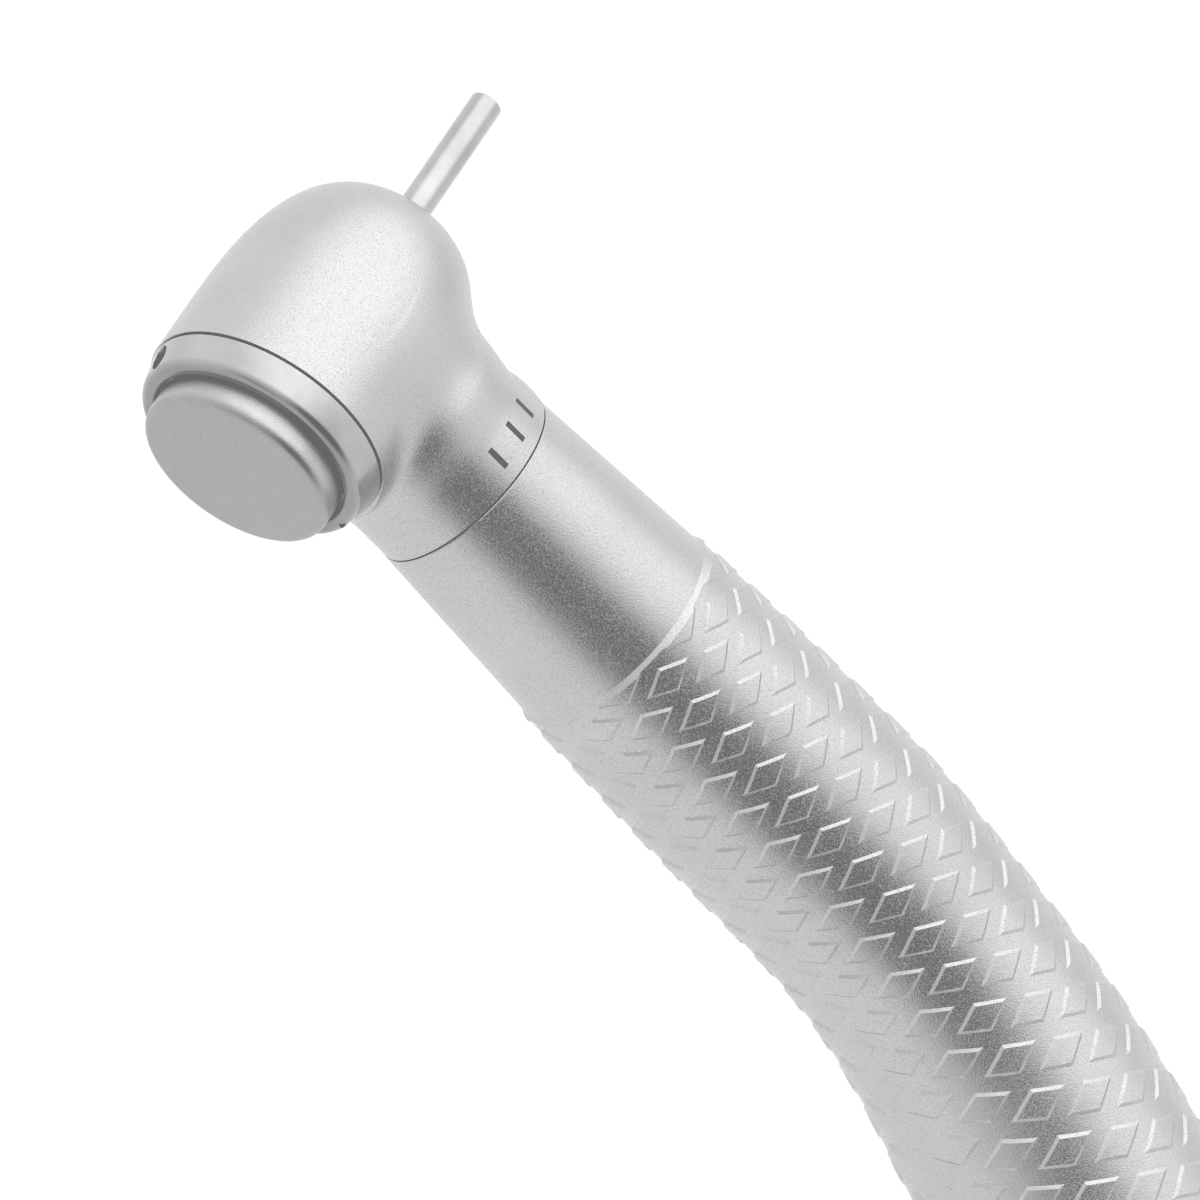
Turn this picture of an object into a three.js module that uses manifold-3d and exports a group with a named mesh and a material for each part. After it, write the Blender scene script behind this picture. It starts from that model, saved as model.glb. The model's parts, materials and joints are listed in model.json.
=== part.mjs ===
// High speed dental handpiece: an air turbine head with push-button chuck on a bent grip with a
// four-hole hose connector, lying on its side. Millimetres, +Z up.
// While it is built, X runs from the head towards the hose, Y from the push button towards the
// rotary instrument, Z is up, and the head's axis meets the neck's axis at the origin. At the end
// the whole handpiece moves so that the origin is under the middle of its box.
import * as THREE from "three";
import { mergeVertices } from "three/addons/utils/BufferGeometryUtils.js";
import Module from "manifold-3d";

const wasm = await Module();
wasm.setup();

// ---- Driving dimensions, mm ----------------------------------------------------------------
const ROUND = 36; // sides of a large turned piece
const ROUND_SMALL = 24; // sides of a small turned piece
const ROUND_RACE = 28; // sides of a bearing race: a multiple of 4 and of the number of balls
const SEAM = 0.08; // open line between two pieces that meet

// Head, along Y
const HEAD = { radius: 6.17, apex: 7.42, domeStart: -3.17, power: 2.9, seam: -5.63 };
const BORE = { thread: 5.2, chamber: 5.05, chamberTop: 3.0, seat: 4.1, seatTop: 5.95, nose: 1.95 };
const CAP = {
  radius: 6.12, lipEnd: -7.33, lipRounding: 0.6, lipInner: 0.2, lipTaper: 0.23, floor: -5.25,
  notchRadius: 0.6, notchDepth: 0.55, notchHeight: -6.44, notchTurn: 13,
};
const BUTTON = {
  radius: 4.87, clearance: 0.12, face: -8.72, edge: 0.5, wall: 0.75, web: -7.8, back: -5.9,
  grooveLow: -7.1, grooveHigh: -6.15, grooveRadius: 4.42, bossRadius: 1.0, bossEnd: -5.25,
};

// Rotor, along Y
const SPINDLE = { radius: 1.5875, bore: 1.2, low: -4.75, high: 6.75 };
const PIN = { radius: 0.8, low: -2.2, tip: 15.4 };
const IMPELLER = { hub: 2.7, tip: 4.72, low: -1.75, high: 2.35, vanes: 12 };
const BEARING = {
  outer: 3.175, width: 2.38, pitch: 2.381, ball: 0.5, groove: 0.56, count: 7,
  innerShoulder: 2.08, outerShoulder: 2.68, front: 4.45, rear: -3.6,
};

// Neck and handle, along the bent centreline
const TILT = THREE.MathUtils.degToRad(1.31); // lean of the neck's axis towards the instrument
const OFFSET = -0.205; // of the neck's axis from the head's centre, along Y
const BEND = { start: 34.7, radius: 55.7, angle: THREE.MathUtils.degToRad(17.5) };
const NECK_END = 9.78;
const BAND = { start: 20.25, end: 20.75 };
const GRIP_END = 82;
const SLEEVE_END = 88;
const COLLAR_END = 104;
const CONNECTOR_END = 114;
const SPIGOT = { radius: 4.25, bore: 3.65, end: 16, grooveStart: 13.2, grooveEnd: 14, groove: 3.9 };

// [distance along the centreline, radius] of the outer surface, joined by a smooth curve
const SLEEVE_NOSE = [[NECK_END + SEAM / 2, 5.14], [15, 5.44], [BAND.start, 5.74]];
const GRIP = [
  [BAND.end, 5.87], [25, 6.13], [30, 6.33], [38, 6.37], [45, 6.47], [52, 6.86], [60, 7.22],
  [70, 7.45], [GRIP_END, 7.44],
];
const COLLAR = [[SLEEVE_END + SEAM, 7.22], [93, 6.98], [98, 6.55], [COLLAR_END, 6.3]];

// Air and water lines: place across the handle along Y and Z, outer and bore radius
const DRIVE_AIR = { y: 0.6, z: 1.5, radius: 1.1, bore: 0.8 };
const WATER = { y: -1.7, z: -1.2, radius: 0.6, bore: 0.35 };
const CHIP_AIR = { y: 1.5, z: -1.5, radius: 0.6, bore: 0.35 };
const EXHAUST = { y: -1.6, z: 1.2, radius: 1.25 };
const LINES_START = 7.2;
const MANIFOLD = { start: 84, end: COLLAR_END - 0.5 };

// The water jet beside the instrument: x and y are its mouth, aim is its turn about Z in radians
const NOZZLE = { x: 8.1, y: 4.75, radius: 0.5, length: 1.6, jet: 0.2, aim: 0.9 };

// The connector's outer thread takes the hose's nut; it is drawn as plain rings
const THREAD = { crest: 4.9, root: 4.5, pitch: 1, start: 106.4, turns: 7 };

// ---- Materials -------------------------------------------------------------------------------
const metal = (color, roughness) => new THREE.MeshStandardMaterial({ color, roughness, metalness: 1 });
const plastic = (color, roughness) => new THREE.MeshStandardMaterial({ color, roughness });
const SATIN = metal(0xc9cbcc, 0.42);
const MACHINED = metal(0xb5b7b8, 0.35);
const BUTTON_METAL = metal(0xb2b3b3, 0.5);
const POLISHED = metal(0xc4c5c6, 0.15);
const BRASS = metal(0xc2a25a, 0.3);
const RUBBER = plastic(0x1d1d1f, 0.8);
const CAGE = plastic(0x7a5230, 0.6);

// ---- Solids ----------------------------------------------------------------------------------
// A closed geometry with only positions, no flat triangles, and its faces pointing out.
function welded(geometry) {
  const bare = geometry.index ? geometry.toNonIndexed() : geometry.clone();
  const onlyPosition = new THREE.BufferGeometry();
  onlyPosition.setAttribute("position", bare.getAttribute("position"));
  const merged = mergeVertices(onlyPosition, 1e-4);
  const position = merged.getAttribute("position");
  const corner = (i) => new THREE.Vector3().fromBufferAttribute(position, i);
  const kept = [];
  let volume = 0;
  for (let i = 0; i < merged.index.count; i += 3) {
    const [a, b, c] = [0, 1, 2].map((k) => merged.index.getX(i + k));
    if (a === b || b === c || c === a) continue;
    kept.push(a, b, c);
    volume += corner(a).dot(corner(b).cross(corner(c)));
  }
  if (volume < 0) {
    for (let i = 0; i < kept.length; i += 3) [kept[i + 1], kept[i + 2]] = [kept[i + 2], kept[i + 1]];
  }
  merged.setIndex(kept);
  return merged;
}

function solidOf(geometry) {
  const closed = welded(geometry);
  const vertProperties = Float32Array.from(closed.getAttribute("position").array);
  const triVerts = Uint32Array.from(closed.index.array);
  return new wasm.Manifold(new wasm.Mesh({ numProp: 3, vertProperties, triVerts }));
}

function geometryOf(solid) {
  const mesh = solid.getMesh();
  const geometry = new THREE.BufferGeometry();
  geometry.setAttribute("position", new THREE.BufferAttribute(mesh.vertProperties, 3));
  geometry.setIndex(new THREE.BufferAttribute(mesh.triVerts, 1));
  return geometry;
}

const cut = (body, ...tools) =>
  geometryOf(tools.reduce((left, tool) => left.subtract(solidOf(tool)), solidOf(body)));
const join = (body, ...others) =>
  geometryOf(others.reduce((sum, other) => sum.add(solidOf(other)), solidOf(body)));

// A solid of revolution about Y from [radius, height] points; it closes on itself or on the axis.
function turned(points, sides = ROUND) {
  const profile = points.map(([r, h]) => new THREE.Vector2(r, h));
  const onAxis = points[0][0] === 0 && points.at(-1)[0] === 0;
  if (!onAxis) profile.push(profile[0].clone());
  return welded(new THREE.LatheGeometry(profile, sides));
}

// Points of a quarter round about [radius, height]; the angles are in quarter turns from outwards.
const quarter = (radius, height, round, from, steps = 3) =>
  Array.from({ length: steps + 1 }, (_, i) => {
    const angle = (from + i / steps) * (Math.PI / 2);
    return [radius + round * Math.cos(angle), height + round * Math.sin(angle)];
  });

const ring = (inner, outer, low, high, sides = ROUND) =>
  turned([[inner, low], [outer, low], [outer, high], [inner, high]], sides);
const disc = (radius, low, high, sides = ROUND) =>
  turned([[0, low], [radius, low], [radius, high], [0, high]], sides);

function torus(major, minor, height, sides = 32) {
  const geometry = new THREE.TorusGeometry(major, minor, 6, sides);
  return welded(geometry.rotateX(Math.PI / 2).translate(0, height, 0));
}

// Turns a geometry that was made along Y so that it runs along X.
const towardsHose = (geometry) => geometry.rotateZ(-Math.PI / 2);

// Points of a smooth curve through [x, radius] stations, as [radius, x] for turned().
function smooth(stations, steps) {
  const curve = new THREE.SplineCurve(stations.map(([x, r]) => new THREE.Vector2(x, r)));
  return curve.getPoints(steps).map((p) => [p.y, p.x]);
}

// ---- The handle's centreline -----------------------------------------------------------------
// The place and heading of the centreline at a distance along it.
function centreline(distance) {
  const along = Math.min(Math.max(distance - BEND.start, 0), BEND.radius * BEND.angle);
  const turn = along / BEND.radius;
  const straightBefore = Math.min(distance, BEND.start);
  const straightAfter = Math.max(distance - BEND.start - BEND.radius * BEND.angle, 0);
  const x = straightBefore + BEND.radius * Math.sin(turn) + straightAfter * Math.cos(turn);
  const y = -BEND.radius * (1 - Math.cos(turn)) - straightAfter * Math.sin(turn);
  const cos = Math.cos(TILT);
  const sin = Math.sin(TILT);
  return { x: x * cos - y * sin, y: x * sin + y * cos + OFFSET, heading: TILT - turn };
}

// Bends a geometry that runs straight along X onto the centreline.
function bent(geometry) {
  const position = geometry.getAttribute("position");
  for (let i = 0; i < position.count; i++) {
    const across = position.getY(i);
    const at = centreline(position.getX(i));
    const x = at.x - across * Math.sin(at.heading);
    const y = at.y + across * Math.cos(at.heading);
    position.setXYZ(i, x, y, position.getZ(i));
  }
  return geometry;
}

// A turned piece of the handle from [radius, distance] points.
const handlePiece = (points, sides = ROUND) => bent(towardsHose(turned(points, sides)));

// A straight piece beside the centreline, such as a stub of tube or a hole.
function besideCentre(line, radius, low, high, sides = ROUND_SMALL) {
  const rod = towardsHose(disc(radius, low, high, sides)).translate(0, line.y, line.z);
  return bent(rod);
}

// A tube beside the centreline, in short steps so that it follows the bend.
function tubeBeside(line, low, high, steps, sides = 10) {
  const heights = Array.from({ length: steps + 1 }, (_, i) => low + ((high - low) * i) / steps);
  const outer = heights.map((h) => [line.radius, h]);
  const inner = heights.map((h) => [line.bore, h]).reverse();
  return bent(towardsHose(turned([...outer, ...inner], sides)).translate(0, line.y, line.z));
}

// ---- Assembly --------------------------------------------------------------------------------
const handpiece = new THREE.Group();

function add(name, geometry, material) {
  const mesh = new THREE.Mesh(geometry, material);
  mesh.name = name;
  handpiece.add(mesh);
  return mesh;
}

// ---- Head housing with neck ------------------------------------------------------------------
function domeProfile(steps) {
  const points = [[0, HEAD.seam + SEAM / 2], [HEAD.radius - 0.02, HEAD.seam + SEAM / 2]];
  for (let i = 0; i <= steps; i++) {
    const angle = (i / steps) * (Math.PI / 2);
    const round = 2 / HEAD.power;
    const radius = HEAD.radius * Math.max(Math.cos(angle), 0) ** round;
    points.push([radius, HEAD.domeStart + (HEAD.apex - HEAD.domeStart) * Math.sin(angle) ** round]);
  }
  points[points.length - 1][0] = 0;
  return points;
}

function sprayBoss() {
  const boss = new THREE.SphereGeometry(1, 20, 12).scale(1.12, 1.4, 3.2).translate(8.95, 3.9, 0);
  const limit = handlePiece([[0, 6.5], [9, 6.5], [9, NECK_END - SEAM / 2], [0, NECK_END - SEAM / 2]]);
  return geometryOf(solidOf(boss).intersect(solidOf(limit)));
}

const placedAtNozzle = (geometry) => geometry.rotateZ(NOZZLE.aim).translate(NOZZLE.x, NOZZLE.y, 0);

function headHousing() {
  const end = NECK_END - SEAM / 2;
  const dome = turned(domeProfile(10));
  const neck = handlePiece([
    [0, 1], [6.0, 1], [6.0, 3.2], [5.62, 4.4], [5.4, 5.0], [5.28, 6.2], [5.12, 7.4], [5.12, end],
    [SPIGOT.radius, end], [SPIGOT.radius, SPIGOT.grooveStart], [SPIGOT.groove, SPIGOT.grooveStart],
    [SPIGOT.groove, SPIGOT.grooveEnd], [SPIGOT.radius, SPIGOT.grooveEnd], [SPIGOT.radius, SPIGOT.end],
    [0, SPIGOT.end],
  ]);
  const chamber = turned([
    [0, -7], [BORE.thread, -7], [BORE.thread, -3.0], [BORE.chamber, -2.9],
    [BORE.chamber, BORE.chamberTop], [BORE.seat, BORE.chamberTop + 0.1], [BORE.seat, BORE.seatTop],
    [BORE.nose, BORE.seatTop], [BORE.nose, HEAD.apex + 1], [0, HEAD.apex + 1],
  ]);
  const passage = handlePiece([[0, 6.4], [SPIGOT.bore, 6.4], [SPIGOT.bore, 17], [0, 17]]);
  const driveJet = besideCentre(DRIVE_AIR, 0.6, 4.4, 7);
  const exhaustPort = besideCentre(EXHAUST, EXHAUST.radius, 4.2, 7);
  const nozzleSeat = placedAtNozzle(disc(NOZZLE.radius + 0.05, -NOZZLE.length, 2, ROUND_SMALL));
  const body = join(dome, neck, sprayBoss());
  return cut(body, chamber, passage, driveJet, exhaustPort, nozzleSeat);
}
add("head_housing", headHousing(), SATIN);

add(
  "spray_nozzle",
  placedAtNozzle(cut(
    disc(NOZZLE.radius, 0.1 - NOZZLE.length, -0.05, 16),
    disc(NOZZLE.jet, -NOZZLE.length - 1, 1, 8),
  )),
  MACHINED,
);

// ---- Back cap and push button ----------------------------------------------------------------
function backCap() {
  const top = HEAD.seam - SEAM / 2;
  const seat = BEARING.outer + 0.35;
  const mouth = BUTTON.radius + BUTTON.clearance;
  const { lipEnd, lipRounding, lipInner, lipTaper } = CAP;
  const lipOuter = CAP.radius - lipTaper - lipRounding;
  const shell = turned([
    ...quarter(mouth + lipInner, lipEnd + lipInner, lipInner, 2, 2),
    ...quarter(lipOuter, lipEnd + lipRounding, lipRounding, 3),
    [CAP.radius, top],
    [BORE.thread - 0.08, top], [BORE.thread - 0.08, -3.3], [seat + 0.75, -3.3], [seat + 0.75, -2.3],
    [seat, -2.3], [seat, BEARING.rear - BEARING.width / 2 - 0.05], [2.3, -4.85], [2.3, CAP.floor],
    [mouth, CAP.floor],
  ]);
  // Two blind holes for the cap wrench
  const { notchRadius, notchDepth, notchHeight, notchTurn } = CAP;
  const notches = [-notchTurn, 180 - notchTurn].map((turn) =>
    new THREE.CylinderGeometry(notchRadius, notchRadius, 2 * notchDepth, 12)
      .rotateZ(Math.PI / 2)
      .translate(CAP.radius - lipTaper / 2, notchHeight, 0)
      .rotateY(THREE.MathUtils.degToRad(turn)));
  return cut(shell, ...notches);
}
add("back_cap", backCap(), SATIN);

function pushButton() {
  const { radius, face, edge, wall, web, back, bossRadius, bossEnd } = BUTTON;
  const { grooveLow, grooveHigh, grooveRadius } = BUTTON;
  return turned([
    [0, face], ...quarter(radius - edge, face + edge, edge, 3),
    [radius, grooveLow], [grooveRadius, grooveLow], [grooveRadius, grooveHigh],
    [radius, grooveHigh], [radius, back], [radius - wall, back], [radius - wall, web],
    [bossRadius, web], [bossRadius, bossEnd], [0, bossEnd],
  ]);
}
add("push_button", pushButton(), BUTTON_METAL);

// A coned washer stack between the cap's floor and the button
add(
  "button_spring",
  turned([[2.6, -7.7], [3.85, -7.7], [3.2, -6.55], [3.85, -5.35], [2.6, -5.35], [2.0, -6.55]], 32),
  MACHINED,
);
add("button_retaining_ring", ring(4.5, 4.97, -6.4, -6.2), MACHINED);

// ---- Rotor -----------------------------------------------------------------------------------
add("spindle", ring(SPINDLE.bore, SPINDLE.radius, SPINDLE.low, SPINDLE.high, ROUND_SMALL), POLISHED);

function impeller() {
  const { hub, tip, low, high, vanes } = IMPELLER;
  const outline = new THREE.Shape();
  const at = (radius, angle) => [radius * Math.cos(angle), radius * Math.sin(angle)];
  const step = (2 * Math.PI) / vanes;
  for (let i = 0; i < vanes; i++) {
    const start = i * step;
    // Each vane leaves the hub, curls forward and ends at the tip radius
    const points = [
      at(hub, start), at(0.8 * tip, start + 0.1 * step), at(tip, start + 0.34 * step),
      at(tip, start + 0.56 * step), at(0.82 * tip, start + 0.36 * step), at(hub, start + 0.42 * step),
    ];
    points.forEach(([x, y], k) => (i + k ? outline.lineTo(x, y) : outline.moveTo(x, y)));
  }
  outline.closePath();
  const shaftHole = new THREE.Path();
  shaftHole.absarc(0, 0, SPINDLE.radius + 0.04, 0, 2 * Math.PI, true);
  outline.holes.push(shaftHole);
  const depth = high - low;
  return new THREE.ExtrudeGeometry(outline, { depth, bevelEnabled: false, curveSegments: 12 })
    .rotateX(-Math.PI / 2)
    .translate(0, low, 0);
}
add("impeller", impeller(), MACHINED);

function colletChuck() {
  const body = ring(PIN.radius + 0.03, SPINDLE.bore - 0.05, -2.6, 6.6, ROUND_SMALL);
  const slots = [0, 1, 2].map((i) =>
    new THREE.BoxGeometry(0.22, 3.4, 2)
      .translate(0, 5.3, 1.4)
      .rotateY((i * 2 * Math.PI) / 3));
  return cut(body, ...slots);
}
add("collet_chuck", colletChuck(), POLISHED);

add("chuck_plunger", turned([
  [0, -4.9], [1.1, -4.9], [1.1, -4.3], [0.75, -4.2], [0.75, -3.1], [0, -3.1],
], ROUND_SMALL), MACHINED);
add("chuck_spring", ring(0.8, 1.14, -3.85, -2.7, ROUND_SMALL), MACHINED);

add("test_pin", turned([
  [0, PIN.low], [PIN.radius, PIN.low], [PIN.radius, PIN.tip - 0.12], [PIN.radius - 0.12, PIN.tip],
  [0, PIN.tip],
], ROUND_SMALL), POLISHED);

// ---- Bearings --------------------------------------------------------------------------------
// Points of the groove's arc in a race, from low to high; side is 1 for the outer race.
function grooveArc(centre, side, shoulder) {
  const depth = (shoulder - BEARING.pitch) * side;
  const half = Math.acos(depth / BEARING.groove);
  return [0, 1, 2, 3, 4].map((i) => {
    const angle = -half + (2 * half * i) / 4;
    const radius = BEARING.pitch + side * BEARING.groove * Math.cos(angle);
    return [radius, centre + BEARING.groove * Math.sin(angle)];
  });
}

function innerRace(centre) {
  const [low, high] = [centre - BEARING.width / 2, centre + BEARING.width / 2];
  const shoulder = BEARING.innerShoulder;
  const bore = SPINDLE.radius + 0.04;
  const arc = grooveArc(centre, -1, shoulder);
  return turned([[bore, low], [shoulder, low], ...arc, [shoulder, high], [bore, high]], ROUND_RACE);
}

function outerRace(centre) {
  const [low, high] = [centre - BEARING.width / 2, centre + BEARING.width / 2];
  const shoulder = BEARING.outerShoulder;
  const arc = grooveArc(centre, 1, shoulder).reverse();
  return turned([
    [shoulder, low], [BEARING.outer, low], [BEARING.outer, high], [shoulder, high], ...arc,
  ], ROUND_RACE);
}

const ballAngle = (i) => (i * 2 * Math.PI) / BEARING.count;
function ballAt(i, centre, radius, sides, rows) {
  const x = BEARING.pitch * Math.cos(ballAngle(i));
  const z = BEARING.pitch * Math.sin(ballAngle(i));
  return new THREE.SphereGeometry(radius, sides, rows).translate(x, centre, z);
}

// A crown cage: a ring whose back runs behind the balls, with a round pocket for each
function cage(centre, back) {
  const [low, high] = [centre - back * 0.3, centre + back * 0.85].sort((a, b) => a - b);
  const pockets = Array.from({ length: BEARING.count }, (_, i) =>
    ballAt(i, centre, BEARING.ball + 0.09, 8, 6));
  return cut(ring(2.2, 2.56, low, high, ROUND_RACE), ...pockets);
}

function bearing(name, centre, back) {
  add(`${name}_inner_race`, innerRace(centre), POLISHED);
  add(`${name}_outer_race`, outerRace(centre), POLISHED);
  add(`${name}_cage`, cage(centre, back), CAGE);
  for (let i = 0; i < BEARING.count; i++) {
    add(`${name}_ball_${i + 1}`, ballAt(i, centre, BEARING.ball, 8, 6), POLISHED);
  }
}
bearing("front_bearing", BEARING.front, 1);
bearing("rear_bearing", BEARING.rear, -1);

// The front race sits in a rubber ring in the housing, the rear race in one in the cap
add("front_bearing_o_ring", torus(BEARING.outer + 0.47, 0.4, BEARING.front), RUBBER);
add("rear_bearing_o_ring", ring(BEARING.outer + 0.04, BEARING.outer + 0.31, -4.3, -3.0), RUBBER);
add("front_wave_washer", ring(2.75, 3.9, 5.68, 5.86), MACHINED);
add("front_dust_shield", ring(1.66, 2.55, 5.68, 5.86, ROUND_SMALL), MACHINED);

// ---- Grip sleeve -----------------------------------------------------------------------------
function gripSleeve() {
  const outer = [
    ...smooth(SLEEVE_NOSE, 3),
    ...smooth(GRIP, 15),
    [7.1, GRIP_END + 0.5], [7.3, GRIP_END + 1.2], [7.3, SLEEVE_END],
  ];
  const inner = [
    [5.9, SLEEVE_END], [5.9, 75], [5.5, 60], [4.95, 51], [4.9, 46], [4.9, 40], [4.9, 35], [4.9, 26],
    [SPIGOT.radius + 0.12, 22], [SPIGOT.radius + 0.12, NECK_END + SEAM / 2],
  ];
  return handlePiece([...outer, ...inner]);
}
add("grip_sleeve", gripSleeve(), SATIN);
add("neck_o_ring", handlePiece([
  [SPIGOT.groove + SEAM / 2, SPIGOT.grooveStart + SEAM / 2],
  [SPIGOT.radius + SEAM, SPIGOT.grooveStart + SEAM / 2],
  [SPIGOT.radius + SEAM, SPIGOT.grooveEnd - SEAM / 2],
  [SPIGOT.groove + SEAM / 2, SPIGOT.grooveEnd - SEAM / 2],
], 32), RUBBER);

// ---- Air and water lines ---------------------------------------------------------------------
add("drive_air_tube", tubeBeside(DRIVE_AIR, LINES_START, MANIFOLD.start - 0.2, 13, 12), MACHINED);
add("water_tube", tubeBeside(WATER, LINES_START, MANIFOLD.start - 0.2, 13, 8), MACHINED);
add("chip_air_tube", tubeBeside(CHIP_AIR, LINES_START, MANIFOLD.start - 0.2, 13, 8), MACHINED);

// ---- Rear end --------------------------------------------------------------------------------
const LINES = [DRIVE_AIR, WATER, CHIP_AIR];
const lineHoles = (low, high) => LINES.map((line) => besideCentre(line, line.bore, low, high, 12));

add(
  "rear_manifold",
  cut(
    handlePiece([
      [0, MANIFOLD.start], [5.75, MANIFOLD.start], [5.75, 90], [5.2, 90.3], [5.2, MANIFOLD.end],
      [0, MANIFOLD.end],
    ], 32),
    ...lineHoles(80, 110),
    besideCentre(EXHAUST, EXHAUST.radius, 80, 110, 16),
  ),
  BRASS,
);
add("rear_o_ring", handlePiece([
  [5.3, 90.6], [5.85, 90.6], [5.85, 91.4], [5.3, 91.4],
], 32), RUBBER);

function rearCollar() {
  const outer = smooth(COLLAR, 5);
  const inner = [[5.35, COLLAR_END], [5.35, 92], [6.0, 91.8], [6.0, SLEEVE_END + SEAM]];
  return handlePiece([...outer, ...inner]);
}
add("rear_collar", rearCollar(), SATIN);

function hoseConnector() {
  const start = COLLAR_END + SEAM;
  const thread = [];
  for (let i = 0; i < THREAD.turns; i++) {
    const low = THREAD.start + i * THREAD.pitch;
    thread.push([THREAD.root, low], [THREAD.crest, low + THREAD.pitch / 2]);
  }
  const body = handlePiece([
    [0, start], [6.1, start], [6.1, start + 1.4], [THREAD.root, start + 1.8], ...thread,
    [THREAD.root, CONNECTOR_END], [0, CONNECTOR_END],
  ], 32);
  const seats = LINES.map((line) => besideCentre(line, line.radius + 0.05, CONNECTOR_END - 4, 120, 12));
  const exhaust = besideCentre(EXHAUST, EXHAUST.radius, 100, 120, 16);
  return cut(body, ...lineHoles(100, 120), ...seats, exhaust);
}
add("hose_connector", hoseConnector(), MACHINED);

const nipple = (line, end) => tubeBeside(line, CONNECTOR_END - 3.8, end, 1, 12);
add("drive_air_nipple", nipple(DRIVE_AIR, CONNECTOR_END + 3), MACHINED);
add("water_nipple", nipple(WATER, CONNECTOR_END + 5), MACHINED);
add("chip_air_nipple", nipple(CHIP_AIR, CONNECTOR_END + 5), MACHINED);

// ---- Place the part's origin under the middle of its box -------------------------------------
const box = new THREE.Box3().setFromObject(handpiece);
const middle = box.getCenter(new THREE.Vector3());
handpiece.position.set(-middle.x, -middle.y, -box.min.z);

export default handpiece;
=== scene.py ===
# Looks of a dental high speed handpiece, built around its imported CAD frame.
# Sizes are in millimetres from the head's centre, where the head's axis meets the neck's axis, and
# every mesh is turned into metres in the CAD frame when it is made. X runs from the head towards the
# hose, Y from the push button towards the instrument, and Z is up.
import json
import math

import bmesh
import bpy
import numpy as np
from mathutils import Matrix, Vector


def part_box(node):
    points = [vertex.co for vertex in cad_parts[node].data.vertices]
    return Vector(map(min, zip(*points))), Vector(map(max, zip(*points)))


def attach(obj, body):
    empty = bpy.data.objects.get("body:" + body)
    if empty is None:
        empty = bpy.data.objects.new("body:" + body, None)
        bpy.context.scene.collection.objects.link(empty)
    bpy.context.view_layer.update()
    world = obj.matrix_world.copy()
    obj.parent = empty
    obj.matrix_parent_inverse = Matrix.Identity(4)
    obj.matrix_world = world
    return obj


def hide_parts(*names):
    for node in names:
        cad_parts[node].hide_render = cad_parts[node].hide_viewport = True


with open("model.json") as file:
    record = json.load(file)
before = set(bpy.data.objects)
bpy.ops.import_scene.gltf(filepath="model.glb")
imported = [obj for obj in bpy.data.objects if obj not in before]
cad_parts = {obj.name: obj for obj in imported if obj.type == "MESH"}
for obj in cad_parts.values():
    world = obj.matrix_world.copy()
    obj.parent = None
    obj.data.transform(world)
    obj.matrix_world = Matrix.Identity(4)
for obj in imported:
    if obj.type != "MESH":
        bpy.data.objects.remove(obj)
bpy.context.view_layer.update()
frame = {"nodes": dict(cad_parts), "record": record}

# ---- Driving dimensions, mm ------------------------------------------------------------------
MM = 0.001
SEAM = 0.08  # open line between two pieces that meet

HEAD = {"radius": 6.17, "apex": 7.42, "dome_start": -3.17, "power": 2.9, "seam": -5.63}
BORE = {"open": -8, "thread": 5.2, "thread_end": -3.0, "chamber": 5.05, "chamber_low": -2.9}
BORE.update(chamber_top=3.0, chamber_round=0.3, step=0.1, seat=4.1, seat_top=5.95, nose=1.95)
BORE.update(flare_start=-0.35, flare_end=0.65, flare=1.0)  # flare heights are from the dome's top
CAP = {"radius": 6.1, "lip": -7.33, "lip_radius": 5.74, "lip_round": 0.5, "lip_inner": 0.2, "floor": -5.25}
CAP.update(thread_end=-3.3, rest=4.28, rest_end=-2.3, seat=3.53, seat_end=-4.84, waist=2.3, edge=0.04)
# Two blind holes for the wrench: [degrees round the head's axis, height]
CAP.update(notch_radius=0.6, notch_depth=0.55, notch_middle=5.98, notches=((-14, -6.72), (168, -6.46)))
BUTTON = {"radius": 4.87, "gap": 0.12, "face": -8.72, "edge": 0.5, "wall": 0.75, "web": -7.6}
BUTTON.update(back=-5.9, groove_low=-7.1, groove_high=-6.15, groove=4.42, boss=1.0, boss_end=-5.25)
BUTTON.update(back_edge=0.1)
PIN = {"radius": 0.8, "low": -2.2, "low_edge": 0.12, "tip": 15.38, "tip_edge": 0.07}
NOZZLE = {"x": 8.1, "y": 4.75, "radius": 0.5, "seat": 0.55, "length": 1.6, "jet": 0.2, "aim": 0.9}
NOZZLE.update(sunk=0.05, floor=0.1, edge=0.08, jet_edge=0.06)

# Neck and handle, along the bent centreline
TILT = math.radians(1.31)
OFFSET = -0.205
BEND = {"start": 34.7, "radius": 55.7, "angle": math.radians(17.5)}
NECK = {"radius": 5.09, "swell": 0.29, "swell_start": 7.9, "swell_length": 2.6, "fillet": 1.1}
NECK.update(start=1, end=9.78)
BOSS = {"middle": 8.95, "half": 1.12, "height": 0.2, "angle": math.radians(52), "side_slope": 1.6}
SPIGOT = {"radius": 4.25, "bore": 3.65, "bore_start": 6.4, "end": 16}
MARK = {"low": 7.85, "high": 9.05, "angle": math.radians(-100), "step": math.radians(19), "half": 0.15}
MARK.update(bars=3, depth=0.15, proud=0.006)
SLEEVE_END = 88
COLLAR_END = 104
CONNECTOR_END = 114

# [distance along the centreline, radius] stations, joined by a smooth curve
SLEEVE_NOSE = [[9.82, 5.14], [12, 5.27], [15, 5.44], [18, 5.61], [20.3, 5.74]]
PLATEAU = [[20.7, 5.96], [24, 6.09], [27, 6.22], [31, 6.33], [36, 6.39], [41.5, 6.33], [45, 6.42]]
PLATEAU += [[51, 6.8], [57, 7.1], [65, 7.34], [80, 7.43]]
COLLAR = [[SLEEVE_END + SEAM, 7.2], [93, 6.98], [98, 6.55], [COLLAR_END, 6.28]]

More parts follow.
